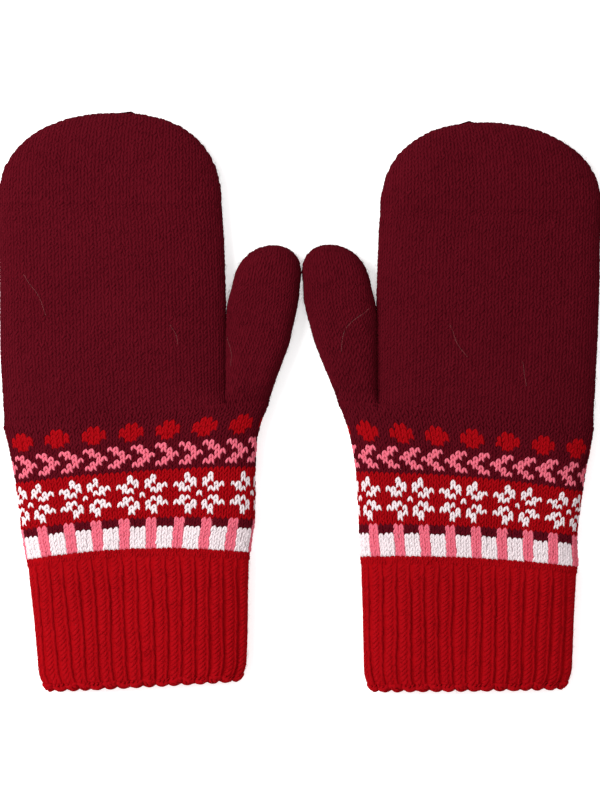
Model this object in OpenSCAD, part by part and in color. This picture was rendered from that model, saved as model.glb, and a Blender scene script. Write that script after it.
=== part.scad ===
// A pair of knitted mittens lying flat, palms down, with the thumbs side by side.
// X runs across the pair, Y from the cuffs to the fingertips and Z up from the table.
// Both are drawn on the +X side, and the left one is then mirrored. Each section is a
// closed shell of fabric between an outer and an inner surface, joined to the next one
// at a row of knitting.

/* [Mitten] */
// Length from the cuff edge to the fingertip
mitten_length = 275; // [230:1:300]
// Thickness of the knitted fabric
knit_wall = 2.4; // [1.8:0.1:3]
// Clear distance between the two thumbs where they come closest
thumb_gap = 1.2; // [1:0.2:40]

/* [Flat thickness] */
// Height of the hand as it lies
hand_thick = 15; // [13:0.5:26]
// Height of the ribbed cuff as it lies
cuff_thick = 13; // [12:0.5:24]
// Height of the thumb as it lies
thumb_thick = 14; // [12:0.5:24]

/* [Inside] */
// Width of the linked seams that close the fingertip and the thumb tip
seam_width = 1.8; // [1:0.2:2.4]
// Depth of the loose yarn strands behind the coloured bands
strand_depth = 0.9; // [0.5:0.1:1.5]

/* [Hidden] */

burgundy = "#5a0f1b";
red = "#a80d18";
pink = "#ee7f93";
cream = "#f1e9ec";

// Air left between sections that fold against each other
fold_gap = 0.3;
// Height of the widest level above the table, as a share of the thickness
mid_share = 0.45;
// The underside is this much fuller than the top, so that it lies flat
belly = 1.12;
// Half height left at the side edges, as a share of the full half height
edge_share = 0.06;
// Points on the two stretches of one face
long_steps = 9;
short_steps = 6;
// Ring angles on a rounded end, from the side edges to the crest
end_angles = [12, 26, 40, 54, 67, 78, 86];
// Lowest half height at a crest, as a share of the full half height
crest_share = 0.14;
// Clearance from the inner surface of a rounded end to the middle of its seam
seam_inset = 3.6;
strand_clear = 0.1;

// The tables below hold [x, y] at the side away from the other mitten, then at the
// near side. The main tube's eight levels run from the cuff edge to the thumb root.
left_levels = [
  [[123.5, -137.4], [26, -132]],
  [[123.8, -134.4], [25.8, -129]],
  [[126.3, -105], [25, -102]],
  [[130.3, -75], [24, -71.5]],
  [[132.8, -61.5], [20.8, -56]],
  [[135.2, -39.5], [21, -31.5]],
  [[137.8, -25.5], [20.3, -17.5]],
  [[140.8, -9], [15.5, -2.5]]
];
right_levels = [
  [[129.2, -136.2], [31, -137.4]],
  [[129.5, -133.2], [30.8, -134.4]],
  [[130.8, -105], [30, -106]],
  [[132.6, -78.5], [28.3, -73.5]],
  [[132, -63.5], [27.8, -58.5]],
  [[134.3, -43], [26.5, -33.5]],
  [[137, -29], [24.3, -19.5]],
  [[139.8, -12], [19, -2.5]]
];
// Where the thumb and the hand part on the top row of the dot band
left_root = [34, -2.5];
right_root = [35, -2.5];
// Hand tube above that row
left_hand = [[[142.6, 22], [34.6, 22]], [[143.3, 50], [34.8, 50]], [[143.5, 80], [35.8, 80]]];
right_hand = [[[141.6, 22], [35.6, 22]], [[142.8, 50], [35.8, 50]], [[143.5, 80], [36.8, 80]]];
// Thumb tube, where the first side is the one against the hand
left_thumb = [[[33.4, 10], [11.6, 10]], [[33.2, 30], [5, 27]], [[32.6, 47], [1.4, 47]]];
right_thumb = [[[34.4, 10], [14.2, 10]], [[34.2, 30], [7, 28]], [[33.8, 47], [2, 47]]];
// Rounded ends as [centre, half width, height, power, lean]
left_tip = [[89.5, 95], 53.6, 42.4, 2.25, 0];
right_tip = [[90, 92], 53.2, 41, 2.2, 0];
left_thumb_tip = [[16.1, 57], 15.1, 17.8, 2.1, 0.18];
right_thumb_tip = [[17.2, 57.5], 16, 17.6, 2.1, 0.2];

function mix(a, b, t) = a + (b - a) * t;
function unit(v) = v / norm(v);
// The point a, moved by d towards b
function drawn_in(a, b, d) = a + unit(b - a) * d;
function thick_at(y) = mix(cuff_thick, hand_thick, max(0, min(1, (y + 76) / 40)));
function flat(lists) = [for (list = lists) each list];

// Share of the full half height at t, which runs from -1 at one edge to 1 at the other
function bulge(t) = max(edge_share, sqrt(max(0, 1 - pow(abs(t), 4))));

// Shares across a face, closer together at its two edges, with one at the bend c
function shares(c) = concat(
  [for (i = [0 : long_steps]) c * (1 - cos(90 * i / long_steps))],
  [for (i = [1 : short_steps]) c + (1 - c) * sin(90 * i / short_steps)]
);

// A ring over the plan points p, m and q, with the bend m at the share c. It's h high,
// less wall at the top and the bottom, and lift scales its half height. The profile
// covers the shares s0 to s1 of a full face.
function section(p, m, q, c, h, wall, lift = 1, s0 = 0, s1 = 1) =
  let (
    mid = h * mid_share,
    row = [for (s = shares(c)) let (
      xy = s < c ? mix(p, m, s / c) : mix(m, q, (s - c) / (1 - c)),
      b = lift * bulge(2 * mix(s0, s1, s) - 1)
    ) [xy[0], xy[1], b]],
    last = len(row) - 1
  )
  concat(
    [for (r = row) [r[0], r[1], mid + (h - mid - wall) * r[2]]],
    [for (i = [last : -1 : 0]) let (r = row[i])
      [r[0], r[1], mid - (mid - wall) * min(1, belly * r[2])]]
  );

// A straight ring from p to q, drawn in by wall all round
function ring(p, q, h, wall, s0 = 0, s1 = 1) =
  section(drawn_in(p, q, wall), mix(p, q, 0.5), drawn_in(q, p, wall), 0.5, h, wall, 1, s0, s1);

// Share of the main tube's width between its outer edge and the thumb crease
function bend_share(levels, root) =
  let (a = norm(levels[7][0] - root), b = norm(levels[7][1] - root)) a / (a + b);

// Level number i of the main tube as [outer, bend, inner]
function level(levels, root, i) =
  let (p = levels[i][0], q = levels[i][1])
  [p, i == 7 ? root : mix(p, q, bend_share(levels, root)), q];

// Ring of the main tube at height u, a level number that may be a fraction
function main_ring(levels, root, u, wall) =
  let (
    i = min(floor(u), 6),
    at = mix(level(levels, root, i), level(levels, root, i + 1), u - i)
  )
  section(
    drawn_in(at[0], at[1], wall), at[1], drawn_in(at[2], at[1], wall),
    bend_share(levels, root), thick_at(at[0][1]), wall
  );

// A point on a rounded end at angle a, counted from the side away from the other mitten
function end_point(tip, a, inset) =
  let (
    x = (tip[1] - inset) * sign(cos(a)) * pow(abs(cos(a)), 2 / tip[3]),
    y = (tip[2] - inset) * pow(sin(a), 2 / tip[3])
  )
  tip[0] + [x - tip[4] * y, y];

// Rings of a rounded end, from its widest level to its crest
function end_rings(tip, h, wall) = concat(
  [ring(end_point(tip, 0, 0), end_point(tip, 180, 0), h, wall)],
  [for (a = end_angles) let (
    p = end_point(tip, a, wall),
    q = end_point(tip, 180 - a, wall)
  ) section(p, mix(p, q, 0.5), q, 0.5, h, wall,
            max(crest_share, sqrt(1 - pow(sin(a), 8 / tip[3]))))]
);

// Triangles between count rings of n points each, numbered from first
function sides(count, n, first, inward) = [
  for (k = [0 : count - 2]) for (i = [0 : n - 1]) let (
    a = first + k * n + i,
    b = first + k * n + (i + 1) % n
  ) each inward ? [[a, b + n, b], [a, a + n, b + n]] : [[a, b, b + n], [a, b + n, a + n]]
];

// Triangles between an outer ring and an inner ring, on the side towards the cuff
function edge_wall(a, b, n) = [
  for (i = [0 : n - 1]) let (j = (i + 1) % n)
  each [[a + j, a + i, b + i], [a + j, b + i, b + j]]
];

function reversed(faces) = [for (f = faces) [for (i = [len(f) - 1 : -1 : 0]) f[i]]];

function cap(first, n) = [[for (i = [0 : n - 1]) first + i]];

// A length of knitted tube between its outer and inner rings. Its first ring is open,
// and so is its last one unless closed is true.
module knit_tube(outer, inner, closed = false) {
  n = len(outer[0]);
  last_out = (len(outer) - 1) * n;
  first_in = len(outer) * n;
  last_in = first_in + (len(inner) - 1) * n;
  far_end = closed
    ? concat(cap(last_out, n), reversed(cap(last_in, n)))
    : reversed(edge_wall(last_out, last_in, n));
  polyhedron(
    points = concat(flat(outer), flat(inner)),
    faces = concat(
      sides(len(outer), n, 0, false),
      sides(len(inner), n, first_in, true),
      edge_wall(0, first_in, n),
      far_end
    ),
    convexity = 6
  );
}

// A stretch of the main tube through the level numbers in stops
module main_tube(levels, root, stops) {
  knit_tube(
    [for (u = stops) main_ring(levels, root, u, 0)],
    [for (u = stops) main_ring(levels, root, u, knit_wall)]
  );
}

// The strands that lie loose behind the coloured bands, as one thin sleeve
module strands(levels, root) {
  stops = [3.15, 4, 5, 6, 6.85];
  outside = knit_wall + strand_clear;
  knit_tube(
    [for (u = stops) main_ring(levels, root, u, outside)],
    [for (u = stops) main_ring(levels, root, u, outside + strand_depth)]
  );
}

function hand_rings(levels, root, hand, wall) = concat(
  [ring(levels[7][0], root + [fold_gap, 0], hand_thick, wall, 0, bend_share(levels, root))],
  [for (r = hand) ring(r[0], r[1], hand_thick, wall)]
);

module hand_tube(levels, root, hand) {
  knit_tube(hand_rings(levels, root, hand, 0), hand_rings(levels, root, hand, knit_wall));
}

function cap_rings(hand, tip, wall) =
  let (knuckles = [for (p = hand[2]) p + [0, fold_gap]])
  concat([ring(knuckles[0], knuckles[1], hand_thick, wall)], end_rings(tip, hand_thick, wall));

module fingertip_cap(hand, tip) {
  knit_tube(cap_rings(hand, tip, 0), cap_rings(hand, tip, knit_wall), closed = true);
}

function thumb_rings(levels, root, thumb, tip, wall) =
  let (p = root + [-fold_gap, fold_gap], q = levels[7][1] + [0, fold_gap])
  concat(
    [ring(p, q, hand_thick, wall, bend_share(levels, root), 1)],
    [for (r = thumb) ring(r[0], r[1], thumb_thick, wall)],
    end_rings(tip, thumb_thick, wall)
  );

module thumb_tube(levels, root, thumb, tip) {
  knit_tube(
    thumb_rings(levels, root, thumb, tip, 0),
    thumb_rings(levels, root, thumb, tip, knit_wall),
    closed = true
  );
}

// The linked seam inside a rounded end, an eight-sided ridge along its crest
module end_seam(tip, h) {
  r = seam_width / 2;
  path = [for (a = [15 : 15 : 165])
    let (p = end_point(tip, a, knit_wall + seam_inset)) [p[0], p[1], h * mid_share]];
  last = len(path) - 1;
  rings = [for (i = [0 : last])
    let (
      along = unit(path[min(i + 1, last)] - path[max(i - 1, 0)]),
      side = cross(along, [0, 0, 1])
    )
    [for (k = [0 : 7]) path[i] + r * (side * cos(45 * k) + [0, 0, sin(45 * k)])]
  ];
  polyhedron(
    points = flat(rings),
    faces = concat(sides(last + 1, 8, 0, false), reversed(cap(0, 8)), cap(last * 8, 8)),
    convexity = 4
  );
}

// Places one mitten's part: the whole pair scales with the length, and the left one
// is the mirrored one
module place(mirrored) {
  k = mitten_length / 275;
  shift = (thumb_gap - 1.2) / 2;
  mirror([mirrored ? 1 : 0, 0, 0]) translate([shift, 0, 0]) scale([k, k, 1]) children();
}

module left() {
  place(true) children();
}

module right() {
  place(false) children();
}

module left_cuff_edge() {
  color(red) left() main_tube(left_levels, left_root, [0, 1]);
}

module left_rib_cuff() {
  color(red) left() main_tube(left_levels, left_root, [1, 2, 2.99]);
}

module left_block_band() {
  color(cream) left() main_tube(left_levels, left_root, [3, 4]);
}

module left_snowflake_band() {
  color(red) left() main_tube(left_levels, left_root, [4, 5]);
}

module left_chevron_band() {
  color(pink) left() main_tube(left_levels, left_root, [5, 6]);
}

module left_dot_band() {
  color(red) left() main_tube(left_levels, left_root, [6, 7]);
}

module left_yarn_strands() {
  color(cream) left() strands(left_levels, left_root);
}

module left_hand_tube() {
  color(burgundy) left() hand_tube(left_levels, left_root, left_hand);
}

module left_fingertip_cap() {
  color(burgundy) left() fingertip_cap(left_hand, left_tip);
}

module left_fingertip_seam() {
  color(burgundy) left() end_seam(left_tip, hand_thick);
}

module left_thumb_tube() {
  color(burgundy) left() thumb_tube(left_levels, left_root, left_thumb, left_thumb_tip);
}

module left_thumb_seam() {
  color(burgundy) left() end_seam(left_thumb_tip, thumb_thick);
}

module right_cuff_edge() {
  color(red) right() main_tube(right_levels, right_root, [0, 1]);
}

module right_rib_cuff() {
  color(red) right() main_tube(right_levels, right_root, [1, 2, 2.99]);
}

module right_block_band() {
  color(cream) right() main_tube(right_levels, right_root, [3, 4]);
}

module right_snowflake_band() {
  color(red) right() main_tube(right_levels, right_root, [4, 5]);
}

module right_chevron_band() {
  color(pink) right() main_tube(right_levels, right_root, [5, 6]);
}

module right_dot_band() {
  color(red) right() main_tube(right_levels, right_root, [6, 7]);
}

module right_yarn_strands() {
  color(cream) right() strands(right_levels, right_root);
}

module right_hand_tube() {
  color(burgundy) right() hand_tube(right_levels, right_root, right_hand);
}

module right_fingertip_cap() {
  color(burgundy) right() fingertip_cap(right_hand, right_tip);
}

module right_fingertip_seam() {
  color(burgundy) right() end_seam(right_tip, hand_thick);
}

module right_thumb_tube() {
  color(burgundy) right() thumb_tube(right_levels, right_root, right_thumb, right_thumb_tip);
}

module right_thumb_seam() {
  color(burgundy) right() end_seam(right_thumb_tip, thumb_thick);
}

left_cuff_edge();
left_rib_cuff();
left_block_band();
left_snowflake_band();
left_chevron_band();
left_dot_band();
left_yarn_strands();
left_hand_tube();
left_fingertip_cap();
left_fingertip_seam();
left_thumb_tube();
left_thumb_seam();
right_cuff_edge();
right_rib_cuff();
right_block_band();
right_snowflake_band();
right_chevron_band();
right_dot_band();
right_yarn_strands();
right_hand_tube();
right_fingertip_cap();
right_fingertip_seam();
right_thumb_tube();
right_thumb_seam();
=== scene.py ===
import math

import bpy
import numpy as np
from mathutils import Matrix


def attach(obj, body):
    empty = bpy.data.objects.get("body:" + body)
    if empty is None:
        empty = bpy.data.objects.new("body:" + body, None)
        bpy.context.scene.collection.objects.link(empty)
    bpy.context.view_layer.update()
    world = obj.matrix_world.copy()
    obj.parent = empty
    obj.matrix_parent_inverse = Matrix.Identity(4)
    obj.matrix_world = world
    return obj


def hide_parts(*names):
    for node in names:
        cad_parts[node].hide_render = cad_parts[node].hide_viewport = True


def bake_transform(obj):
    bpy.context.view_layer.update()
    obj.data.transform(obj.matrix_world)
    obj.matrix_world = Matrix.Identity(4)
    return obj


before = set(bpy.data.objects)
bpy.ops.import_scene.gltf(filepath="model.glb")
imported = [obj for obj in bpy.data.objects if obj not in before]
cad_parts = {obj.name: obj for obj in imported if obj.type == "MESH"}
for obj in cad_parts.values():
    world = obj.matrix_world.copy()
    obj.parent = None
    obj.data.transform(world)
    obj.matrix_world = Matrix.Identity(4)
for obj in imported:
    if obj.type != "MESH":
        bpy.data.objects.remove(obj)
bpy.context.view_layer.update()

# ---------------------------------------------------------------------------
# Loops of yarn
# The fabric is soft wool knitted from the fingertips down to the cuff, so a
# loop shows as two legs that spread towards the cuff. One loop is made by hand
# here, and every stitch on the mittens is a copy of it laid on the fabric.
# ---------------------------------------------------------------------------
WALE_MM = 3.0
COURSE_MM = 2.05
# A stitch is a wale wide and a course tall. A leg of a loop has a length, width and height in mm, a lean
# in degrees, its middle across and up from the middle of the stitch, and a number of sides.
PLAIN_LEGS = [(3.7, 1.6, 0.71, 24, -0.70, 0.05, 8), (3.8, 1.4, 0.67, -17, 0.78, 0.0, 8)]
# A power under 1 makes the ends of a leg less pointed
BLUNT = 0.8
centre = (0, 0, 0)


def model_loop(legs, wale, course):
    """One loop: points in wales, courses and mm of relief, triangles, and each point's place and leg."""
    points, triangles, places, leg_of = [], [], [], []
    for length, width, height, lean, across, up, sides in legs:
        bpy.ops.object.select_all(action="DESELECT")
        bpy.ops.mesh.primitive_uv_sphere_add(segments=sides, ring_count=sides // 2 + 1, radius=0.5)
        leg = bpy.context.object
        bpy.ops.object.mode_set(mode="EDIT")
        bpy.ops.mesh.select_all(action="SELECT")
        bpy.ops.transform.rotate(value=math.pi / 2, orient_axis="X", center_override=centre)
        bpy.ops.mesh.bisect(plane_co=centre, plane_no=(0, 0, 1), clear_inner=True, use_fill=True)
        bpy.ops.mesh.select_all(action="SELECT")
        bpy.ops.mesh.quads_convert_to_tris()
        bpy.ops.transform.resize(value=(width, length, 2 * height), center_override=centre)
        bpy.ops.mesh.normals_make_consistent(inside=False)
        bpy.ops.object.mode_set(mode="OBJECT")
        flat = np.array([v.co[:] for v in leg.data.vertices])
        share = flat[:, 1] / length * 2
        flat[:, 1] = np.sign(share) * np.abs(share) ** BLUNT * length / 2
        turn = math.radians(-lean)
        x = flat[:, 0] * math.cos(turn) - flat[:, 1] * math.sin(turn) + across
        y = flat[:, 0] * math.sin(turn) + flat[:, 1] * math.cos(turn) + up
        count = sum(len(p) for p in points)
        triangles.append(np.array([p.vertices[:] for p in leg.data.polygons]) + count)
        leg_of.append(np.full(len(flat), len(points)))
        points.append(np.stack([x / wale, y / course, flat[:, 2]], 1))
        places.append(np.stack([flat[:, 0] / width + 0.5, flat[:, 1] / length + 0.5], 1))
        bpy.ops.object.delete()
    return tuple(np.concatenate(part) for part in (points, triangles, places, leg_of))


plain_loop = model_loop(PLAIN_LEGS, WALE_MM, COURSE_MM)
# The palm side lies on the table, and its loops have fewer sides
PALM_SIDES = 6
palm_loop = model_loop([leg[:6] + (PALM_SIDES,) for leg in PLAIN_LEGS], WALE_MM, COURSE_MM)

# ---------------------------------------------------------------------------
# Dyed wool
# Four yarns: burgundy, red, pink and white. Each is a soft wool of two plies with a
# little halo of loose fibre, a slow change of shade and a twist that just shows, in
# bumps and in painted shade along its grooves. Each leg of yarn also has a painted
# highlight along its middle, with painted shade towards its sides.
# ---------------------------------------------------------------------------


class Wire:
    """An output of a shader node, with the arithmetic that adds Math nodes."""

    def __init__(self, tree, socket):
        self.tree = tree
        self.socket = socket

    def node(self, kind, settings=None, output=0, **sockets):
        made = self.tree.nodes.new(kind)
        for key, value in (settings or {}).items():
            setattr(made, key, value)
        for key, value in sockets.items():
            place = int(key[1:]) if key[1:].isdigit() else key.replace("_", " ")
            target = made.inputs[place]
            if isinstance(value, Wire):
                self.tree.links.new(value.socket, target)
            else:
                target.default_value = value
        return Wire(self.tree, made.outputs[output])

    def math(self, operation, a, b=0.0):
        return self.node("ShaderNodeMath", {"operation": operation}, i0=a, i1=b)

    def __add__(self, other):
        return self.math("ADD", self, other)

    def __sub__(self, other):
        return self.math("SUBTRACT", self, other)

    def __rsub__(self, other):
        return self.math("SUBTRACT", other, self)

    def __mul__(self, other):
        return self.math("MULTIPLY", self, other)

    __radd__ = __add__
    __rmul__ = __mul__


def wool(name, shade, light, halo):
    """A yarn's material: its dark and its light shade, and how far its halo of fibres shows at the edges."""
    made = bpy.data.materials.new(name)
    made.use_nodes = True
    tree = made.node_tree
    shader = tree.nodes["Principled BSDF"]
    start = Wire(tree, None)
    place = start.node("ShaderNodeTexCoord", output=3)
    yarn = start.node("ShaderNodeUVMap", {"uv_map": "Yarn"})
    slow = start.node("ShaderNodeTexNoise", Vector=place, Scale=45.0, Detail=2.0)
    loop = start.node("ShaderNodeTexNoise", Vector=place, Scale=420.0, Detail=1.0)
    fibre = start.node("ShaderNodeTexNoise", Vector=place, Scale=3200.0, Detail=3.0, Roughness=0.6)
    where = start.node("ShaderNodeSeparateXYZ", Vector=yarn)
    across = Wire(tree, where.socket.node.outputs[0])
    along = Wire(tree, where.socket.node.outputs[1])
    # Painted highlight and shade: the tone is lighter along the middle of a leg and darker at its sides, and
    # the twist darkens it a little in its grooves
    painted_top_light = across * (1 - across) * 4
    twist = start.math("SINE", (across * 1.1 + along * 2.6 + loop * 3) * (2 * math.pi))
    tone = slow * 0.4 + loop * 0.5 + fibre * 0.5 + twist * 0.06 + painted_top_light * 0.12 - 0.34
    colour = start.node(
        "ShaderNodeMix", {"data_type": "RGBA"}, output=2, Factor=tone, i6=shade, i7=light
    )
    tree.links.new(colour.socket, shader.inputs["Base Color"])
    bump = start.node(
        "ShaderNodeBump", Height=fibre * 0.55 + twist * 0.35, Strength=0.6, Distance=0.00025
    )
    tree.links.new(bump.socket, shader.inputs["Normal"])
    shader.inputs["Roughness"].default_value = 0.95
    shader.inputs["Specular IOR Level"].default_value = 0.02
    shader.inputs["Sheen Weight"].default_value = halo
    shader.inputs["Sheen Roughness"].default_value = 0.6
    shader.inputs["Sheen Tint"].default_value = light
    return made


BURGUNDY = wool("burgundy_wool", (0.059, 0.0019, 0.0051, 1), (0.102, 0.0041, 0.0099, 1), 0.01)
RED = wool("red_wool", (0.243, 0.0014, 0.0034, 1), (0.336, 0.0028, 0.0060, 1), 0.01)
PINK = wool("pink_wool", (0.58, 0.100, 0.150, 1), (0.80, 0.165, 0.225, 1), 0.01)
WHITE = wool("white_wool", (0.63, 0.525, 0.545, 1), (0.83, 0.735, 0.755, 1), 0.01)
# The backs of the loops get copies of the yarns with a narrower tone, as painted shade for the fibres over
# them
BURGUNDY_BACK_SHADE = wool("burgundy_wool_back_shade", (0.066, 0.0020, 0.0055, 1), (0.086, 0.0031, 0.0075, 1), 0.0)
RED_BACK_SHADE = wool("red_wool_back_shade", (0.285, 0.0015, 0.0035, 1), (0.330, 0.0021, 0.0046, 1), 0.0)

# ---------------------------------------------------------------------------
# The shape of the flat mittens
# Each mitten is a tube of fabric pressed flat by its own weight, with soft rolled
# side folds. The main tube runs from the cuff edge to the split for the thumb, and
# the hand and the thumb go on from there as two closed tubes, side by side.
# ---------------------------------------------------------------------------
# Which way the width of each mitten is counted from the middle of the pair
SIDE = {"left": -1, "right": 1}
# course, far side (x, y), near side (x, y), bow of the row, thickness, in mm
MAIN = {
    "left": [
        (0, 124.6, -137.2, 24.4, -132.2, 0.0, 13.0),
        (14, 127.3, -105.0, 23.8, -102.0, 0.8, 13.0),
        (30, 130.6, -75.0, 23.4, -71.5, 3.8, 13.3),
        (37, 132.8, -61.3, 21.0, -56.3, 3.2, 13.8),
        (48, 135.2, -39.0, 21.0, -31.2, 1.9, 14.8),
        (54, 137.6, -26.6, 20.2, -17.2, 0.8, 15.0),
        (57, 138.9, -20.3, 18.3, -9.8, 0.3, 15.0),
        (59, 140.1, -16.2, 16.6, -5.4, 0.3, 15.0),
        (61, 140.9, -12.0, 14.9, -1.6, 0.3, 15.0),
    ],
    "right": [
        (0, 129.8, -136.0, 29.6, -137.2, 0.0, 13.0),
        (14, 131.2, -105.0, 28.9, -106.0, 0.3, 13.0),
        (30, 132.6, -78.5, 28.3, -73.5, 2.1, 13.3),
        (37, 131.8, -63.8, 27.7, -58.7, 1.7, 13.8),
        (48, 134.5, -43.0, 26.6, -33.6, 2.4, 14.8),
        (54, 136.6, -30.0, 24.6, -20.8, 1.2, 15.0),
        (57, 138.0, -23.2, 23.0, -13.6, 0.5, 15.0),
        (59, 138.8, -18.8, 21.4, -8.8, 0.4, 15.0),
        (62, 139.8, -12.4, 18.4, -1.8, 0.3, 15.0),
    ],
}
HAND = {
    "left": [
        (61, 140.9, -12.0, 34.0, -2.8, 0.3, 15.0),
        (76, 143.0, 22.0, 34.4, 22.0, 0.0, 15.0),
        (90, 143.2, 50.0, 34.7, 50.0, 0.0, 15.0),
        (105, 143.6, 80.0, 35.7, 80.0, 0.0, 15.0),
        (112.5, 144.0, 95.0, 36.8, 95.0, 0.0, 15.0),
    ],
    "right": [
        (62, 139.8, -12.4, 35.0, -3.0, 0.3, 15.0),
        (77, 141.7, 22.0, 35.5, 22.0, 0.0, 15.0),
        (91, 142.8, 50.0, 35.8, 50.0, 0.0, 15.0),
        (106, 143.3, 80.0, 36.8, 80.0, 0.0, 15.0),
        (112, 144.0, 92.0, 37.7, 92.0, 0.0, 15.0),
    ],
}
THUMB = {
    "left": [
        (0, 36.0, -3.0, 14.9, -1.6, 0.0, 15.0),
        (6, 36.2, 10.0, 11.0, 10.0, 0.0, 14.3),
        (15, 36.1, 30.0, 4.6, 27.0, 0.0, 14.0),
        (24.5, 35.8, 46.0, 0.2, 47.0, 0.0, 14.0),
        (30, 32.5, 57.0, -0.7, 57.0, 0.0, 14.0),
    ],
    "right": [
        (0, 37.0, -3.0, 18.4, -1.8, 0.0, 15.0),
        (6, 37.3, 10.0, 13.6, 10.0, 0.0, 14.3),
        (15, 37.4, 30.0, 6.3, 28.0, 0.0, 14.0),
        (24.5, 37.1, 46.0, 1.3, 47.0, 0.0, 14.0),
        (30, 33.9, 57.5, 0.9, 57.5, 0.0, 14.0),
    ],
}
# Rise past the last full row, power of the outline, lean, the course of the crest, and how late the
# lean comes in
HAND_END = {"left": (42.8, 2.25, 0.07, 135.5, 3), "right": (41.2, 2.2, 0.09, 134.0, 3)}
THUMB_END = {"left": (17.8, 2.1, 0.18, 41.0, 1), "right": (17.6, 2.1, 0.2, 41.0, 1)}
# The side folds lie at this share of the thickness, and the top is rounder than the underside
MIDDLE = 0.45
TOP_POWER = 4.0
UNDER_POWER = 7.0
# The loops stand on a cloth this far inside the outline
SINK_MM = 1.1
# How much fabric is taken up by the roll of a side fold, at the cuff and at the hand
ROLL_MM = (9.0, 15.0)
# The last row of the cuff, and the rows over which its roll grows to that of the hand
CUFF_LAST, ROLL_ROWS = 30, 20
# The rounded corners of the cuff, the scallop of its edge, and the rows that each takes
CORNER_MM, CORNER_ROWS = 3.5, 4
SCALLOP_MM, SCALLOP_ROWS = 1.3, 3
# Ribs a face, the depth of the groove beside one, the row where the grooves end and the rows over
# which they fade out, and how round the top of a rib is
RIBS = 16
GROOVE_MM, GROOVE_END, GROOVE_ROWS = 1.2, 29, 7
RIB_ROUND = 0.7
# The rows over which the hand and the thumb round off above the split
ROOT_ROWS = 5
# The unevenness of the upper face: height, and the waves' lengths across and along, in mm, and phase
SWELLS = ((0.35, 15, 31, 0.7), (0.25, 9, -17, 2.1))
SWELL_ROOM_MM = 0.5


def profile(power, half_width, rise):
    """How far out a point is at each share of the way from the middle of a face to its side fold."""
    u = np.linspace(0, 1, 1500)
    angle = np.pi / 2 * u ** (power / 2)
    across, up = np.sin(angle) ** (2 / power), np.cos(angle)
    run = np.cumsum(np.hypot(np.diff(across, prepend=0) * half_width, np.diff(up, prepend=1) * rise))
    return run / run[-1], across, run[-1] / half_width


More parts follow.
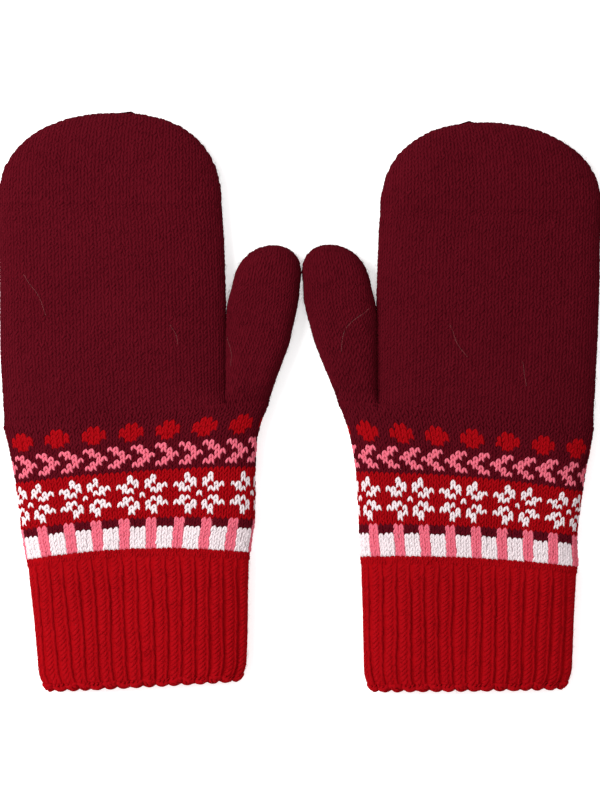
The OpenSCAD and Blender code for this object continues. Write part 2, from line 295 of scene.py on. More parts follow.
class FlatTube:
    """A knitted tube lying flat. share runs across a face from 1 at the far fold to -1 at the near one."""

    def __init__(self, side, rows, end=None, root=None, ribs=None):
        table = np.array(rows, float)
        self.sign = SIDE[side]
        inside = np.arange(table[0, 0], table[-1, 0] + 0.25, 0.5)
        # Half rows that the outline is smoothed over, and half rows added past each end
        soft, more = 6, 12
        self.courses = np.arange(-more + soft, len(inside) + more - soft) / 2 + table[0, 0]
        self.rows = []
        for column in table[:, 1:].T:
            dense = np.interp(inside, table[:, 0], column)
            before = 2 * dense[0] - dense[more:0:-1]
            after = np.full(more, dense[-1]) if end else 2 * dense[-1] - dense[-2 : -more - 2 : -1]
            weights = np.hanning(2 * soft + 3)[1:-1]
            padded = np.concatenate([before, dense, after])
            self.rows.append(np.convolve(padded, weights / weights.sum(), "valid"))
        widest = (table[:, 1] - table[:, 3]).max() / 2
        self.power = {1: TOP_POWER, -1: UNDER_POWER}
        self.faces = {
            face: [profile(self.power[face], widest, roll) for roll in ROLL_MM] for face in (1, -1)
        }
        self.girth = self.faces[1][1][2]
        self.end, self.root, self.ribs = end, root, ribs
        self.last = table[-1, 0]

    def half_girth(self, course):
        """Half of the way across a face on a row, along the fabric, in mm."""
        far, near = [np.interp(course, self.courses, self.rows[column]) for column in (0, 2)]
        return (far - near) / 2 * self.girth

    def edge(self, course):
        """How far past the last full row a row is, as a share of the crown, and the crown's power."""
        up = np.zeros_like(course)
        power = 2.0
        if self.end:
            up = np.clip((course - self.last) / (self.end[3] - self.last), 0, None)
            power = self.end[1]
        return up, power

    def place(self, face, share, course):
        """Points of the face of the cloth in mm, as on the right mitten."""
        far_x, far_y, near_x, near_y, bow, thick = [np.interp(course, self.courses, row) for row in self.rows]
        up, power = self.edge(course)
        reach = (np.abs(share) ** power + up**power) ** (1 / power)
        above = np.clip((course - CUFF_LAST) / ROLL_ROWS, 0, 1)
        if self.end:
            above = np.ones_like(course)
        cuff_out, hand_out = [np.interp(reach, run, table) for run, table, _ in self.faces[face]]
        out = cuff_out + (hand_out - cuff_out) * above
        rise = np.sqrt(np.clip(1 - out ** self.power[face], 0, 1))
        over = np.maximum(reach - 1, 0)
        ratio = out / np.maximum(reach, 1e-6)
        half = (far_x - near_x) / 2
        if self.ribs:
            half = half - CORNER_MM * np.clip(1 - course / CORNER_ROWS, 0, 1) ** 2
        across = share * ratio
        x = (far_x + near_x) / 2 + half * across
        y = (far_y + near_y) / 2 + (far_y - near_y) / 2 * across + bow * (1 - across**2)
        if self.end:
            y = y + self.end[0] * up * ratio
            x = x - self.end[2] * self.end[0] * up ** self.end[4] * ratio
        if self.root:
            split, middle_x, half_x = self.root
            whole = np.sqrt(np.clip(1 - np.abs((x - middle_x) / half_x) ** self.power[face], 0, 1))
            grown = np.clip((course - split) / ROOT_ROWS, 0, 1)
            grown = grown * grown * (3 - 2 * grown)
            rise = whole + (rise - whole) * grown
        middle = thick * MIDDLE
        swell = sum(size * np.sin(x / wide + y / long + phase) for size, wide, long, phase in SWELLS)
        if face > 0:
            z = middle + (thick - middle - SWELL_ROOM_MM + swell) * rise - over * half
        else:
            z = middle - middle * rise + over * half
        if self.ribs:
            near_edge = np.clip(1 - course / SCALLOP_ROWS, 0, 1)
            y = y - SCALLOP_MM * self.ridge(face, share, course) * near_edge
        return np.stack([x, y, z], -1)

    def rib_phase(self, face, share, course):
        """Which rib a place is on, counted from the near fold. The ribs wander a little."""
        wave = 0.04 * np.sin(course / 5.3 + share * 9 + face) + 0.02 * np.sin(course / 2.4 - share * 17)
        return (share + 1) / 2 * self.ribs + wave

    def ridge(self, face, share, course):
        """1 on the crest of a rib and 0 in the groove beside it."""
        return np.abs(np.sin(np.pi * self.rib_phase(face, share, course))) ** RIB_ROUND

    def lay(self, face, share, course, height):
        """Points of fabric in metres, height mm above the face of the cloth."""
        if self.ribs:
            depth = GROOVE_MM * np.clip((GROOVE_END - course) / GROOVE_ROWS, 0, 1)
            height = height - depth * (1 - self.ridge(face, share, course))
        step_share, step_course = 0.004, 0.15
        middle = self.place(face, share, course)
        along_row, along_wale = [
            self.place(face, share + a, course + b) - self.place(face, share - a, course - b)
            for a, b in ((step_share, 0), (0, step_course))
        ]
        normal = np.cross(along_row, along_wale) * face
        normal /= np.maximum(np.linalg.norm(normal, axis=-1, keepdims=True), 1e-9)
        points = middle + normal * (height - SINK_MM)[..., None]
        points[..., 0] *= self.sign
        return points / 1000


tubes = {}
for side in SIDE:
    last = MAIN[side][-1]
    whole = ((last[1] + last[3]) / 2, (last[1] - last[3]) / 2)
    tubes[side] = {
        "main": FlatTube(side, MAIN[side]),
        "cuff": FlatTube(side, MAIN[side], ribs=RIBS),
        "hand": FlatTube(side, HAND[side], HAND_END[side], (last[0], *whole)),
        "thumb": FlatTube(side, THUMB[side], THUMB_END[side], (0, *whole)),
    }

# ---------------------------------------------------------------------------
# The wall of the fabric
# Behind the legs that show lies the rest of the knitting, the backs of the loops,
# as a wall rather more than a millimetre thick that is open only at the cuff. It
# starts as a flat piece of cloth that is wrapped round and closed along the side.
# ---------------------------------------------------------------------------
WALL_MM = 1.3
# Its outer face stands a little out of the cloth that the loops stand on
FACE_MM = 0.3
# Rings of the wall between the last full row and the crest
CROWN_RINGS = 16
# The first rows of the hand and the thumb are drawn in and tucked under the cloth below them
TUCK_ROWS, DRAWN_IN_MM, TUCKED_MM = 2.5, 3.0, 1.4


def finish_piece(piece, material, replaced):
    """Gives a piece its wool and smooth shading, and hides the CAD nodes named in replaced, so that the piece
    shows in their place.
    """
    piece.data.materials.clear()
    piece.data.materials.append(material)
    piece.data.polygons.foreach_set("use_smooth", np.ones(len(piece.data.polygons), bool))
    if replaced:
        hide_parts(*replaced)


def wall(name, tube, first, last, columns, closed, shade=0.1):
    """A wall from the first to the last row, or to the crest of a closed tube. shade places its tone: a low
    shade paints the wall darker, as painted shade.
    """
    top_row = tube.last if closed else last
    rows = int(round(top_row - first))
    cap = CROWN_RINGS if closed else 0
    bpy.ops.object.select_all(action="DESELECT")
    bpy.ops.mesh.primitive_grid_add(x_subdivisions=2 * columns, y_subdivisions=rows + cap, size=1)
    piece = bpy.context.object
    piece.name = piece.data.name = name
    flat = np.array([v.co[:] for v in piece.data.vertices])
    turn = np.round((0.5 - flat[:, 0]) * 2 * columns)
    row = np.round((flat[:, 1] + 0.5) * (rows + cap))
    under = turn > columns
    share = np.where(under, (turn - columns) * 2 / columns - 1, 1 - turn * 2 / columns)
    course = first + np.minimum(row, rows) * (top_row - first) / rows
    if closed:
        power = tube.end[1]
        up = np.sin(np.clip((row - rows) / cap, 0, 1) * np.pi / 2)
        share = share * (1 - np.minimum(up, 1) ** power) ** (1 / power)
        course = course + up * (tube.end[3] - tube.last)
    level = np.full(len(flat), FACE_MM)
    if closed:
        tuck = np.clip(1 - (course - first) / TUCK_ROWS, 0, 1)
        share = share * (1 - DRAWN_IN_MM * tuck / tube.half_girth(course))
        level = level - TUCKED_MM * tuck
    top, bottom = tube.lay(1, share, course, level), tube.lay(-1, share, course, level)
    piece.data.vertices.foreach_set("co", np.where(under[:, None], bottom, top).ravel())
    bpy.ops.object.mode_set(mode="EDIT")
    bpy.ops.mesh.select_all(action="SELECT")
    bpy.ops.mesh.remove_doubles(threshold=0.00008)
    if tube.sign < 0:
        bpy.ops.mesh.flip_normals()
    bpy.ops.object.mode_set(mode="OBJECT")
    thick = piece.modifiers.new("thickness", "SOLIDIFY")
    thick.thickness = WALL_MM / 1000
    thick.offset = -1
    bpy.ops.object.modifier_apply(modifier=thick.name)
    # One tone all over, since the wall has no twist of its own. shade stands for a place across a leg,
    # so a low shade gets little of the painted highlight and paints the wall darker, as painted shade
    piece.data.uv_layers[0].name = "Yarn"
    piece.data.uv_layers[0].data.foreach_set("uv", np.full(2 * len(piece.data.loops), shade, np.float32))
    return piece


def bend_fingers(piece, side):
    side + "_hand"
    side + "_fingers"
    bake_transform(piece)


def bend_thumb(piece, side):
    side + "_hand"
    side + "_thumb"
    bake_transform(piece)


def bend_cuff(piece, side):
    side + "_hand"
    side + "_cuff"
    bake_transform(piece)


for side in SIDE:
    split = MAIN[side][-1][0]
    main = tubes[side]["main"]
    # Most walls take the back copies of the yarns and a low shade, painted darker as painted shade in the
    # gaps between the loops; the block wall is white and lighter
    piece = wall(side + "_cuff_wall", tubes[side]["cuff"], 0, 30.2, 96, False)
    finish_piece(piece, RED_BACK_SHADE, [])
    bend_cuff(piece, side)
    piece = wall(side + "_block_wall", main, 29.9, 35.2, 48, False, 0.4)
    finish_piece(piece, WHITE, [])
    bend_cuff(piece, side)
    piece = wall(side + "_snowflake_wall", main, 35, 48.2, 48, False, 0.25)
    finish_piece(piece, RED_BACK_SHADE, [])
    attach(piece, side + "_hand")
    piece = wall(side + "_chevron_wall", main, 48, split + 1, 48, False)
    finish_piece(piece, BURGUNDY_BACK_SHADE, [])
    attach(piece, side + "_hand")
    piece = wall(side + "_hand_wall", tubes[side]["hand"], split - 1, 0, 48, True)
    finish_piece(piece, BURGUNDY_BACK_SHADE, [])
    bend_fingers(piece, side)
    piece = wall(side + "_thumb_wall", tubes[side]["thumb"], -1, 0, 24, True)
    finish_piece(piece, BURGUNDY_BACK_SHADE, [])
    bend_thumb(piece, side)

# ---------------------------------------------------------------------------
# The stitches of the hands
# Plain burgundy loops, 36 across each face, with the rows straight to the top. The
# outline is shaped by dropping a loop at each end of a row, and the two faces close
# on each other round the crown.
# ---------------------------------------------------------------------------
chance = np.random.default_rng(11)
# How unevenly hand knitting lies: the turn, place, width and height of a loop
TURN, NUDGE, FAT, TALL = 0.035, 0.03, 0.05, 0.06
HAND_STITCHES = 36
# A loop of the hand that would reach past this share of the crown's outline is dropped
CROWN_SHARE = 0.985


def make_mesh(name, points, triangles, yarn_places, cells):
    """A mesh from arrays. Every leg gets its own cell of the map that is kept for baking."""
    mesh = bpy.data.meshes.new(name)
    mesh.vertices.add(len(points))
    mesh.vertices.foreach_set("co", points.astype(np.float32).ravel())
    mesh.loops.add(3 * len(triangles))
    mesh.loops.foreach_set("vertex_index", triangles.astype(np.int32).ravel())
    mesh.polygons.add(len(triangles))
    mesh.polygons.foreach_set("loop_start", np.arange(0, 3 * len(triangles), 3, dtype=np.int32))
    mesh.update(calc_edges=True)
    across = math.ceil(math.sqrt(cells.max() + 1))
    corner = np.stack([cells % across, cells // across], 1)
    kept = (corner + 0.14 + 0.72 * yarn_places) / across
    for layer_name, values in (("OFBake", kept), ("Yarn", yarn_places)):
        layer = mesh.uv_layers.new(name=layer_name)
        layer.data.foreach_set("uv", values[triangles.ravel()].astype(np.float32).ravel())
    piece = bpy.data.objects.new(name, mesh)
    bpy.context.scene.collection.objects.link(piece)
    return piece


def knit(name, tube, loop, stitches, lift=0.0, loose=1.5):
    """Copies a loop to every stitch. stitches has the faces, shares across, widths as shares, and courses."""
    face, share, width, course = [np.asarray(column, float) for column in stitches]
    points, triangles, places, leg_of = loop
    count, size = len(face), len(points)
    turn = chance.normal(0, TURN * loose, (count, 1))
    nudge = chance.normal(0, NUDGE * loose, (count, 2))
    fat = chance.normal(1, FAT * loose, (count, 1))
    a = points[None, :, 0] * fat + points[None, :, 1] * turn + nudge[:, :1]
    b = points[None, :, 1] - points[None, :, 0] * turn + nudge[:, 1:]
    height = points[None, :, 2] * (fat + chance.normal(0, TALL * loose, (count, 1))) + lift
    hand = tube.sign * face[:, None]
    all_share = share[:, None] + hand * a * width[:, None]
    all_course = course[:, None] + b
    spots = np.zeros((count, size, 3))
    for one in (1, -1):
        mask = face == one
        if mask.any():
            spots[mask] = tube.lay(one, all_share[mask], all_course[mask], height[mask])
    order = np.arange(count)[:, None, None] * size + triangles[None]
    cells = (np.arange(count)[:, None] * (leg_of.max() + 1) + leg_of[None]).ravel()
    return make_mesh(name, spots.reshape(-1, 3), order.reshape(-1, 3), np.tile(places, (count, 1)), cells)


def rows_of(tube, first, last, across):
    """Every stitch of a closed tube's face: its share, its width and its course."""
    found = []
    for course in np.arange(first + 0.5, last, 1.0):
        share = (np.arange(across) + 0.5) * 2 / across - 1
        up, power = tube.edge(np.array([course]))
        reach = (np.abs(share) ** power + up[0] ** power) ** (1 / power)
        inside = share[reach < CROWN_SHARE]
        found.append(np.stack([inside, np.full(len(inside), 2 / across), np.full(len(inside), course)]))
    return np.concatenate(found, 1)


def on_face(face, rows):
    """Rows of stitches with their face, as knit takes them."""
    return [np.full(rows.shape[1], face), *rows]


# Where the fingers fold, which divides the stitches into two pieces
FOLD_COURSE = 105

for side in SIDE:
    hand = tubes[side]["hand"]
    low = rows_of(hand, MAIN[side][-1][0], FOLD_COURSE, HAND_STITCHES)
    high = rows_of(hand, FOLD_COURSE, HAND_END[side][3], HAND_STITCHES)
    for part, face, rows, loop, node in (
        ("_hand_back", 1, low, plain_loop, ["_hand_tube"]),
        ("_hand_palm", -1, low, palm_loop, []),
        ("_fingertip_back", 1, high, plain_loop, ["_fingertip_cap"]),
        ("_fingertip_palm", -1, high, palm_loop, []),
    ):
        piece = knit(side + part, hand, loop, on_face(face, rows))
        finish_piece(piece, BURGUNDY, [side + name for name in node])
        bend_fingers(piece, side)

# ---------------------------------------------------------------------------
# The stitches of the thumbs
# Each thumb is a narrower tube of the same burgundy loops. Its rows of loops follow
# its outer side, so it leans away from the hand, and they run into the crease there.
# ---------------------------------------------------------------------------
THUMB_WALE_MM = 3.0
THUMB_STITCHES = 16

for side in SIDE:
    thumb = tubes[side]["thumb"]
    found = []
    for course in np.arange(0.5, THUMB_END[side][3], 1.0):
        width = THUMB_WALE_MM / thumb.half_girth(np.array([course]))[0]
        share = -1 + (np.arange(THUMB_STITCHES) + 0.5) * width
        up, power = thumb.edge(np.array([course]))
        reach = (np.abs(share) ** power + up[0] ** power) ** (1 / power)
        inside = share[reach < 1.0]
        found.append(np.stack([inside, np.full(len(inside), width), np.full(len(inside), course)]))
    rows = np.concatenate(found, 1)
    stitches = np.concatenate([on_face(1, rows), on_face(-1, rows)], 1)
    piece = knit(side + "_thumb", thumb, plain_loop, stitches)
    finish_piece(piece, BURGUNDY, [side + "_thumb_tube"])
    bend_thumb(piece, side)

# ---------------------------------------------------------------------------
# The patterned bands
# Four bands in stranded knitting, 90 loops round, worked with two yarns to a row:
# dots, chevrons, snowflakes and blocks. Every yarn's loops in a band are one piece.
# ---------------------------------------------------------------------------
# Loops across each face of a band
ROUND = 45
# The first row of each pattern, and the burgundy ground that starts a row below the chevrons
BLOCK_ROW, FLAKE_ROW, CHEVRON_ROW, DOT_ROW = 30, 38, 49, 55
GROUND_ROW = CHEVRON_ROW - 1
# How many loops further round the motifs of the palm side are
PALM_SHIFT = 3
PATTERN_LEGS = [(3.5, 1.65, 1.1, 24, -0.64, 0.05, 8), (3.6, 1.5, 1.05, -17, 0.74, 0.0, 8)]
# The third leg is the back of the loop, which shows between the other two
BAND_LEGS = [
    (3.7, 1.5, 1.15, 24, -0.62, 0.05, 8),
    (3.8, 1.35, 1.1, -17, 0.72, 0.0, 8),
    (2.8, 2.9, 0.72, 0, 0.05, 0.15, 6),
]
# In a solid patch the backs are wider still, so that no other colour shows through
SOLID_LEGS = [BAND_LEGS[0], BAND_LEGS[1], (3.5, 3.5, 0.95, 0, 0.05, 0.15, 6)]
BAND_WALE_MM = 2.6
band_loop = model_loop(BAND_LEGS, BAND_WALE_MM, COURSE_MM)
pattern_loop = model_loop(PATTERN_LEGS, BAND_WALE_MM, COURSE_MM)
solid_loop = model_loop(SOLID_LEGS, BAND_WALE_MM, COURSE_MM)
# The charts of one motif each, with the top row first
DOTS = [".XX.  ", "XXXX  ", "XXXX  ", ".XX.  "]
CHEVRON = ["XX..", ".XX.", "..XX", ".XX.", "XX.."]
SNOWFLAKE = ["..X...X...", "..XX.XX...", "XX.X.X.XX.", ".XX...XX..", "....X....."]
SNOWFLAKE = SNOWFLAKE + SNOWFLAKE[3::-1]
BLOCK = ["bbbPP", "bbbPP", "wwwPP", "wwwPP", "wwwPP", "wwwPP", "wwwPP"]
# Where the middle of one motif is on each mitten, in mm from the middle of the pair
DOT_AT = {"left": 81.9, "right": 80.9}
CHEVRON_AT = {"left": 77.9, "right": 78.0}
SNOWFLAKE_AT = {"left": 73.6, "right": 77.0}
BLOCK_AT = {"left": 64.3, "right": 66.0}


def chart_letters(chart, first_course, tube, motif_x, motif_column):
    """The letter of every stitch of a band, with motif_column of the chart at the stitch nearest motif_x."""
    period, height = len(chart[0]), len(chart)
    course = first_course + height / 2
    shares = (np.arange(ROUND) + 0.5) * 2 / ROUND - 1
    x = tube.place(1, shares, np.full(ROUND, course))[:, 0]
    nearest = int(np.argmin(np.abs(x - motif_x)))
    letters = {}
    for face in (1, -1):
        for row in range(height):
            for column in range(ROUND):
                # Counted from left to right as the mitten is seen from above
                seen = (column - nearest) * tube.sign * face
                if face < 0:
                    seen += PALM_SHIFT
                line = chart[height - 1 - row]
                letters[face, column, row] = line[(seen + motif_column) % period]
    return letters


def band_stitches(first_course, height, wanted):
    """The stitches of a band, on both faces, that wanted says belong to one yarn."""
    found = []
    for row in range(height):
        for column in range(ROUND):
            for face in (1, -1):
                if wanted(face, column, row):
                    share = (column + 0.5) * 2 / ROUND - 1
                    found.append((face, share, 2 / ROUND, first_course + row + 0.5))
    return np.array(found).T


for side in SIDE:
    main = tubes[side]["main"]
    mirrored = [line[::-1] for line in CHEVRON]
    chevron = CHEVRON if side == "left" else mirrored
    letters = chart_letters(BLOCK, BLOCK_ROW, main, BLOCK_AT[side], 1)
    blocks = (("white", "w", WHITE), ("pink", "P", PINK), ("burgundy", "b", BURGUNDY))
    for yarn, letter, shade in blocks:
        stitches = band_stitches(BLOCK_ROW, len(BLOCK), lambda f, c, r: letters[f, c, r] == letter)
        piece = knit(side + "_block_" + yarn, main, solid_loop, stitches)
        finish_piece(piece, shade, [side + "_block_band"] if yarn == "white" else [])
        bend_cuff(piece, side)
    flakes = chart_letters(SNOWFLAKE, FLAKE_ROW, main, SNOWFLAKE_AT[side], 4)
    tall = len(SNOWFLAKE)
    white = band_stitches(FLAKE_ROW, tall, lambda f, c, r: flakes[f, c, r] == "X")
    # The red ground has one more row below the flakes and one above
    red = band_stitches(
        FLAKE_ROW - 1, tall + 2, lambda f, c, r: r in (0, tall + 1) or flakes[f, c, r - 1] != "X"
    )
    piece = knit(side + "_snowflake_white", main, pattern_loop, white)
    finish_piece(piece, WHITE, [side + "_snowflake_band"])
    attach(piece, side + "_hand")
    piece = knit(side + "_snowflake_red", main, band_loop, red)
    finish_piece(piece, RED, [])
    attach(piece, side + "_hand")
    first = 0 if side == "left" else len(chevron[0]) - 1
    chevrons = chart_letters(chevron, CHEVRON_ROW, main, CHEVRON_AT[side], first)
    pink = band_stitches(CHEVRON_ROW, len(chevron), lambda f, c, r: chevrons[f, c, r] == "X")
    piece = knit(side + "_chevron_pink", main, pattern_loop, pink)
    finish_piece(piece, PINK, [side + "_chevron_band"])
    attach(piece, side + "_hand")
    dots = chart_letters(DOTS, DOT_ROW, main, DOT_AT[side], 1)
    red = band_stitches(DOT_ROW, len(DOTS), lambda f, c, r: dots[f, c, r] == "X")
    piece = knit(side + "_dot_red", main, solid_loop, red)
    finish_piece(piece, RED, [side + "_dot_band"])
    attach(piece, side + "_hand")
    split = MAIN[side][-1][0]

    def ground(face, column, row):
        """Whether a loop is burgundy: all those that belong to no chevron and to no dot."""
        course = GROUND_ROW + row
        if CHEVRON_ROW <= course < CHEVRON_ROW + len(CHEVRON):
            return chevrons[face, column, course - CHEVRON_ROW] != "X"
        if DOT_ROW <= course < DOT_ROW + len(DOTS):
            return dots[face, column, course - DOT_ROW] != "X"
        return True

    stitches = band_stitches(GROUND_ROW, split - GROUND_ROW, ground)
    piece = knit(side + "_band_ground", main, band_loop, stitches)
    finish_piece(piece, BURGUNDY, [])
    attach(piece, side + "_hand")

# ---------------------------------------------------------------------------
# The ribbed cuffs
# Sixteen ribs a face in red wool. A rib is one raised column of large loops, whose
# left legs lean and whose right legs stand nearly straight, with a groove beside
# it. Two plain rows join the ribs to the patterned band above.
# ---------------------------------------------------------------------------
RIB_MM = 6.6
RIB_COURSE_MM = 2.2
RIB_LEGS = [(5.3, 2.15, 0.72, 46, -1.25, 0.1, 8), (5.6, 1.8, 0.76, -2, 1.85, 0.0, 8)]
rib_loop = model_loop(RIB_LEGS, RIB_MM, RIB_COURSE_MM)
# The rows of ribs, the two plain rows, and how far these are sunk
FIRST_RIB_ROW, LAST_RIB_ROW = 1, 27
JOIN_COURSES = (28.5, 29.5)
JOIN_SUNK_MM = 0.45
# From this course up each row of ribs is sunk a little more than the one below it
FADE_COURSE, FADE_MM = 24.5, 0.04
RIB_LOOSE = 0.6

for side in SIDE:
    cuff = tubes[side]["cuff"]
    found = []
    for row in range(FIRST_RIB_ROW, LAST_RIB_ROW + 1):
        for rib in range(RIBS):
            for face in (1, -1):
                share = (rib + 0.5) / RIBS * 2 - 1
                moved = (cuff.rib_phase(face, share, row + 0.5) - rib - 0.5) / RIBS * 2
                found.append((face, share - moved, 2 / RIBS, row + 0.5))
    stitches = np.array(found).T
    sunk = FADE_MM * np.clip(stitches[3] - FADE_COURSE, 0, None)[:, None]
    piece = knit(side + "_cuff_ribs", cuff, rib_loop, stitches, -sunk, loose=RIB_LOOSE)
    finish_piece(piece, RED, [side + "_rib_cuff"])
    bend_cuff(piece, side)
    join = [
        (face, (i + 0.5) * 2 / ROUND - 1, 2 / ROUND, course)
        for i in range(ROUND)
        for face in (1, -1)
        for course in JOIN_COURSES
    ]
    stitches = np.array(join).T
    piece = knit(side + "_cuff_join", tubes[side]["main"], band_loop, stitches, -JOIN_SUNK_MM)
    finish_piece(piece, RED, [])
    bend_cuff(piece, side)

# ---------------------------------------------------------------------------
# The bound-off edges
# The ribs end in a bound-off edge, which is the last thing knitted. It is a rolled
# cord of red yarn that follows the scallops of the ribs, and a chain of sideways
# loops lies along it.
# ---------------------------------------------------------------------------
EDGE_COURSE = 0.75
EDGE_STEPS = 640
# The cord's radius, and how far it bulges at each loop it holds
EDGE_RADIUS = 0.0010
EDGE_BULGE = 0.00018
# Loops of the chain on each face, their width, and how far the chain stands off the cuff
CHAIN_LOOPS = 48
CHAIN_MM = 2.6
CHAIN_LIFT_MM = 0.55
EDGE_LEGS = [(3.2, 1.2, 0.7, 68, 0.0, 0.5, 8), (3.2, 1.2, 0.7, 108, 0.1, -0.35, 8)]
edge_loop = model_loop(EDGE_LEGS, CHAIN_MM, RIB_COURSE_MM)


def draw_yarn(name, paths, radii, sides, closed):
    """Yarns swept along paths, one for each row of paths. They are closed rings or have pointed ends."""
    count, steps, _ = paths.shape
    if closed:
        along = np.roll(paths, -1, 1) - np.roll(paths, 1, 1)
    else:
        along = np.gradient(paths, axis=1)
    along /= np.maximum(np.linalg.norm(along, axis=-1, keepdims=True), 1e-12)
    level = np.cross(along, np.where(np.abs(along[..., 2:]) > 0.9, [1.0, 0, 0], [0, 0, 1.0]))
    level /= np.maximum(np.linalg.norm(level, axis=-1, keepdims=True), 1e-12)
    rise = np.cross(level, along)
    turn = np.arange(sides) * 2 * np.pi / sides
    ring = level[:, :, None] * np.cos(turn)[:, None] + rise[:, :, None] * np.sin(turn)[:, None]
    spots = paths[:, :, None] + ring * radii[:, :, None, None]
    ids = np.arange(steps * sides).reshape(steps, sides)
    after = np.roll(ids, -1, 0) if closed else ids[1:]
    here = ids if closed else ids[:-1]
    a, b, c, d = here, np.roll(here, -1, 1), np.roll(after, -1, 1), after
    faces = np.concatenate([np.stack([a, b, c], -1), np.stack([a, c, d], -1)]).reshape(-1, 3)
    spots = spots.reshape(count, -1, 3)
    # Round a yarn its place runs from 1 to 0 and back, which the wool paints as a highlight on the upper and
    # lower side, with painted shade at the others
    round_yarn = np.abs(np.arange(sides) * 2 / sides - 1)
    along_yarn = np.linspace(0, 1, steps)
    places = np.stack(np.meshgrid(round_yarn, along_yarn), -1).reshape(-1, 2)
    if not closed:
        first, last = steps * sides, steps * sides + 1
        tips = 2.0 * paths[:, [0, -1]] - paths[:, [1, -2]]
        spots = np.concatenate([spots, tips], 1)
        start = np.stack([np.roll(ids[0], -1), ids[0], np.full(sides, first)], -1)
        finish = np.stack([ids[-1], np.roll(ids[-1], -1), np.full(sides, last)], -1)
        faces = np.concatenate([faces, start, finish])
        places = np.concatenate([places, [[0.5, 0], [0.5, 1]]])
    size = spots.shape[1]
    faces = np.arange(count)[:, None, None] * size + faces[None]
    cells = np.repeat(np.arange(count), size)
    places = np.tile(places, (count, 1))
    return make_mesh(name, spots.reshape(-1, 3), faces.reshape(-1, 3), places, cells)


# A ring of yarn wanders a little up and down the rows, and it is caught so many times round a face
WANDER_ROWS, WANDERS = 0.35, 19
CATCHES = 22.5


def ring_path(tube, course, depth, steps, wave):
    """A ring round a tube, depth mm under its cloth, that sags by wave mm between the places it is caught."""
    turn = np.arange(steps) / steps * 4
    under = turn >= 2
    share = np.where(under, turn - 3, 1 - turn)
    rows = np.full(steps, float(course)) + WANDER_ROWS * np.sin(turn * WANDERS + course)
    level = -depth - wave * np.abs(np.sin(turn * CATCHES * np.pi / 2 + course))
    top, bottom = tube.lay(1, share, rows, level), tube.lay(-1, share, rows, level)
    return np.where(under[:, None], bottom, top)


for side in SIDE:
    cuff = tubes[side]["cuff"]
    edge = ring_path(cuff, EDGE_COURSE, -0.1, EDGE_STEPS, 0.0)[None]
    caught = np.arange(EDGE_STEPS) * np.pi * 2 * CHAIN_LOOPS / EDGE_STEPS
    radii = EDGE_RADIUS + EDGE_BULGE * np.abs(np.sin(caught))[None]
    piece = draw_yarn(side + "_cuff_edge_cord", edge, radii, 8, True)
    finish_piece(piece, RED, [side + "_cuff_edge"])
    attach(piece, side + "_cuff")
    chain = [
        (face, (i + 0.5) * 2 / CHAIN_LOOPS - 1, 2 / CHAIN_LOOPS, EDGE_COURSE)
        for i in range(CHAIN_LOOPS)
        for face in (1, -1)
    ]
    piece = knit(side + "_cuff_bind_off", cuff, edge_loop, np.array(chain).T, CHAIN_LIFT_MM)
    finish_piece(piece, RED, [])
    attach(piece, side + "_cuff")

# ---------------------------------------------------------------------------
# Yarn carried inside
# In a two-coloured row the yarn that isn't in use runs loosely along the inside of
# the fabric. There is a strand in about every second row, and it goes all the way
# round, caught every few loops.
# ---------------------------------------------------------------------------
# The rows that each yarn is carried behind
STRANDS = {"white": (38, 40, 42, 44, 46), "pink": (31, 33, 35, 49.5, 51.5), "red": (55.5, 57)}
STRAND_RADIUS = 0.00035
STRAND_DEPTH_MM = 1.5
STRAND_SAG_MM = 0.5
STRAND_STEPS = 180
for side in SIDE:
    for yarn, shade in (("white", WHITE), ("pink", PINK), ("red", RED)):
        paths = np.stack([
            ring_path(tubes[side]["main"], course + 0.5, STRAND_DEPTH_MM, STRAND_STEPS, STRAND_SAG_MM)
            for course in STRANDS[yarn]
        ])
        radii = np.full(paths.shape[:2], STRAND_RADIUS)
        piece = draw_yarn(side + "_strands_" + yarn, paths, radii, 5, True)
        finish_piece(piece, shade, [side + "_yarn_strands"] if yarn == "white" else [])
        bend_cuff(piece, side)

# ---------------------------------------------------------------------------
# The closings of the crowns
# The two faces of a crown are drawn shut inside by a sewn length of burgundy yarn,
# which follows the outline of the crown a little way in from it.
# ---------------------------------------------------------------------------
CLOSING_RADIUS = 0.0008
CLOSING_STEPS = 160
CLOSING_DEPTH_MM = 1.6
# How far out the closing runs, as a share of the outline, and where on it the yarn starts, in radians
CLOSING_SHARE = 0.94
CLOSING_START = 0.25
for side in SIDE:
    for part, bend in (("hand", bend_fingers), ("thumb", bend_thumb)):
        tube = tubes[side][part]
        power = tube.end[1]
        angle = np.linspace(CLOSING_START, np.pi - CLOSING_START, CLOSING_STEPS)
        share = CLOSING_SHARE * np.sign(np.cos(angle)) * np.abs(np.cos(angle)) ** (2 / power)
        course = tube.last + CLOSING_SHARE * np.sin(angle) ** (2 / power) * (tube.end[3] - tube.last)
        level = np.full(CLOSING_STEPS, -CLOSING_DEPTH_MM)
        inner = (tube.lay(1, share, course, level) + tube.lay(-1, share, course, level)) / 2
        width = CLOSING_RADIUS * (1 + 0.3 * np.abs(np.sin(np.arange(CLOSING_STEPS) * 0.8)))
        piece = draw_yarn(side + "_" + part + "_closing", inner[None], width[None], 6, False)
        node = side + ("_fingertip_seam" if part == "hand" else "_thumb_seam")
        finish_piece(piece, BURGUNDY, [node])
        bend(piece, side)

# ---------------------------------------------------------------------------
# Loose fibres
# The wool is brushed a little, so thousands of fine fibres stand off the loops and
# soften the outline. A few longer, paler ones lie on the backs of the mittens.
# ---------------------------------------------------------------------------
# Most of the fibres are on the upper face
UPPER_SHARE = 0.72
FIBRE_RADIUS = 0.00004
# The shortest fibre in mm, how much one curls in radians, the height it starts at in mm, and its points
SHORTEST_MM, CURL = 1.2, 0.9
ROOT_MM = 0.7
FIBRE_STEPS = 5


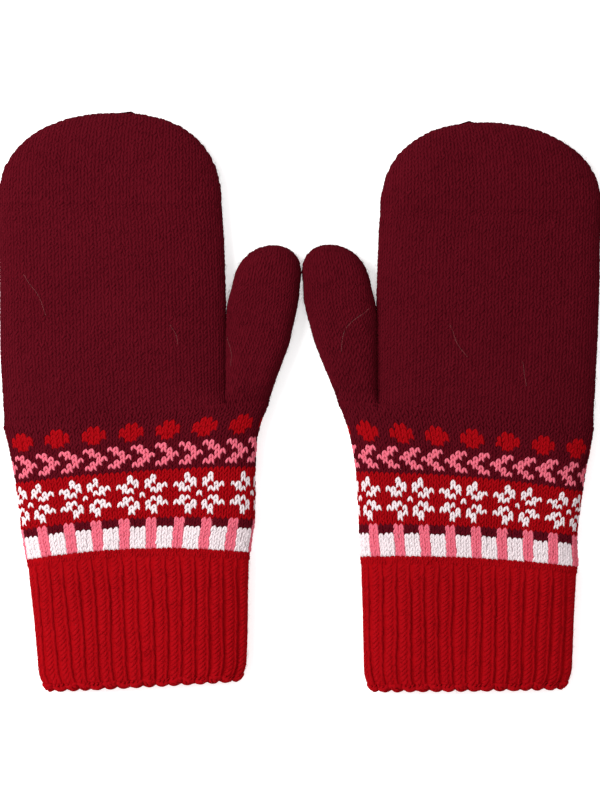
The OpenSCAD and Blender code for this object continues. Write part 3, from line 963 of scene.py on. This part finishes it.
def fuzz(name, tube, courses, count, longest, tall):
    """Curved fibres all over a tube, up to longest mm long, which stand off it by about tall mm."""
    chosen = np.random.default_rng(count + len(name))
    face = np.where(chosen.random(count) < UPPER_SHARE, 1, -1)
    share = chosen.uniform(-1.0, 1.0, count)
    course = chosen.uniform(*courses, count)
    if tube.end:
        up, power = tube.edge(course)
        reach = (np.abs(share) ** power + up**power) ** (1 / power)
        kept = reach < 1
        face, share, course = face[kept], share[kept], course[kept]
    count = len(face)
    half = tube.half_girth(course)
    heading = chosen.uniform(0, 2 * np.pi, count)
    length = chosen.uniform(SHORTEST_MM, longest, count)
    bend = chosen.normal(0, CURL, count)
    height = np.abs(chosen.normal(0, tall, count)) + 0.1
    steps = np.linspace(0, 1, FIBRE_STEPS)
    angle = heading[:, None] + bend[:, None] * steps
    across = share[:, None] + np.cos(angle) * length[:, None] * steps / half[:, None]
    along = course[:, None] + np.sin(angle) * length[:, None] * steps / COURSE_MM
    lift = ROOT_MM + height[:, None] * np.sin(steps * 2.4)
    paths = np.zeros((count, FIBRE_STEPS, 3))
    for one in (1, -1):
        mask = face == one
        paths[mask] = tube.lay(one, across[mask], along[mask], lift[mask])
    paths[..., 2] = np.maximum(paths[..., 2], 0.00005)
    radii = np.full((count, FIBRE_STEPS), FIBRE_RADIUS) * np.linspace(1, 0.5, FIBRE_STEPS)
    return draw_yarn(name, paths, radii, 3, False)


PALE = wool("pale_fibre", (0.20, 0.07, 0.07, 1), (0.36, 0.17, 0.16, 1), 0.0)
# The shortest and the longest hair in mm, and the points along one
HAIR_MM = (10, 28)
HAIR_STEPS = 28


def hairs(name, tube, count, courses):
    """A few long fibres lying in slack curves on the back of the mitten."""
    chosen = np.random.default_rng(len(name) + count)
    steps = np.linspace(0, 1, HAIR_STEPS)
    share, course = chosen.uniform(-0.75, 0.75, count), chosen.uniform(*courses, count)
    half = tube.half_girth(course)
    angle = chosen.uniform(0.9, 2.2, (count, 1)) + chosen.normal(0, 0.5, (count, 1)) * steps
    angle = angle + 0.15 * np.sin(steps * 7)
    length = chosen.uniform(*HAIR_MM, (count, 1)) / HAIR_STEPS
    across = share[:, None] + np.cumsum(np.cos(angle) * length, 1) / half[:, None]
    along = course[:, None] + np.cumsum(np.sin(angle) * length, 1) / COURSE_MM
    level = np.ones_like(across) + 0.25 * np.abs(np.sin(steps * 9))
    paths = tube.lay(1, np.clip(across, -0.97, 0.97), along, level)
    return draw_yarn(name, paths, np.full(across.shape, FIBRE_RADIUS), 4, False)


# Fibres on each part, their greatest length and how far they stand off, in mm
HAND_FUZZ = (2600, 4.0, 0.7)
THUMB_FUZZ = (900, 3.5, 0.6)
CUFF_FUZZ = (1500, 3.5, 0.6)

for side in SIDE:
    split = MAIN[side][-1][0]
    # How many long fibres, and the rows that they start on
    for part, tube_name, count, courses, bend in (
        ("_hand_hairs", "hand", 2, (split + 5, 100), bend_fingers),
        ("_thumb_hairs", "thumb", 1, (8, 14), bend_thumb),
    ):
        piece = hairs(side + part, tubes[side][tube_name], count, courses)
        finish_piece(piece, PALE, [])
        bend(piece, side)
    courses = (split, HAND_END[side][3])
    piece = fuzz(side + "_hand_fuzz", tubes[side]["hand"], courses, *HAND_FUZZ)
    finish_piece(piece, BURGUNDY, [])
    bend_fingers(piece, side)
    courses = (0, THUMB_END[side][3])
    piece = fuzz(side + "_thumb_fuzz", tubes[side]["thumb"], courses, *THUMB_FUZZ)
    finish_piece(piece, BURGUNDY, [])
    bend_thumb(piece, side)
    piece = fuzz(side + "_cuff_fuzz", tubes[side]["cuff"], (0.5, GROOVE_END), *CUFF_FUZZ)
    finish_piece(piece, RED, [])
    bend_cuff(piece, side)

# ---------------------------------------------------------------------------
# Camera, floor and light
# The pair lies on a white table under a broad soft light, seen from straight above.
# ---------------------------------------------------------------------------
bpy.ops.object.select_all(action="DESELECT")
# The table top is just under the mittens, and pale enough to leave only a faint shadow
bpy.ops.mesh.primitive_plane_add(size=6, location=(0, 0, -0.0003))
table = bpy.context.object
table.name = "table"
paper = bpy.data.materials.new("white_acrylic")
paper.use_nodes = True
sheet = paper.node_tree.nodes["Principled BSDF"].inputs
sheet["Base Color"].default_value = (0.93, 0.93, 0.93, 1)
sheet["Roughness"].default_value = 0.9
sheet["Specular IOR Level"].default_value = 0.1
sheet["Emission Color"].default_value = (1, 1, 1, 1)
sheet["Emission Strength"].default_value = 0.55
table.data.materials.append(paper)

world = bpy.context.scene.world or bpy.data.worlds.new("studio")
bpy.context.scene.world = world
world.use_nodes = True
world.node_tree.nodes["Background"].inputs["Color"].default_value = (1, 1, 1, 1)
world.node_tree.nodes["Background"].inputs["Strength"].default_value = 0.66


def soft_light(name, location, size, power):
    """A round lamp that shines on the pair."""
    data = bpy.data.lights.new(name, "AREA")
    data.shape = "DISK"
    data.size = size
    data.energy = power
    light = bpy.data.objects.new(name, data)
    bpy.context.scene.collection.objects.link(light)
    light.location = location
    aim = math.atan2(math.hypot(location[0], location[1]), location[2])
    light.rotation_euler = (0, aim, math.atan2(location[1], location[0]))


soft_light("key", (-0.82, 0.27, 0.76), 0.9, 16.5)

# A long lens from far off. It frames VIEW_MM from top to bottom at the upper half of the fabric.
VIEW_MM = 380.5
LENS = 240
SENSOR = 36
FRAMED_HEIGHT = 0.009
camera_data = bpy.data.cameras.new("camera")
camera_data.lens = LENS
camera_data.sensor_width = SENSOR
camera_data.clip_end = 50
camera = bpy.data.objects.new("camera", camera_data)
bpy.context.scene.collection.objects.link(camera)
camera.location = (0, 0.0004, FRAMED_HEIGHT + VIEW_MM / 1000 * LENS / SENSOR)
bpy.context.scene.camera = camera
bpy.context.scene.view_settings.view_transform = "Standard"
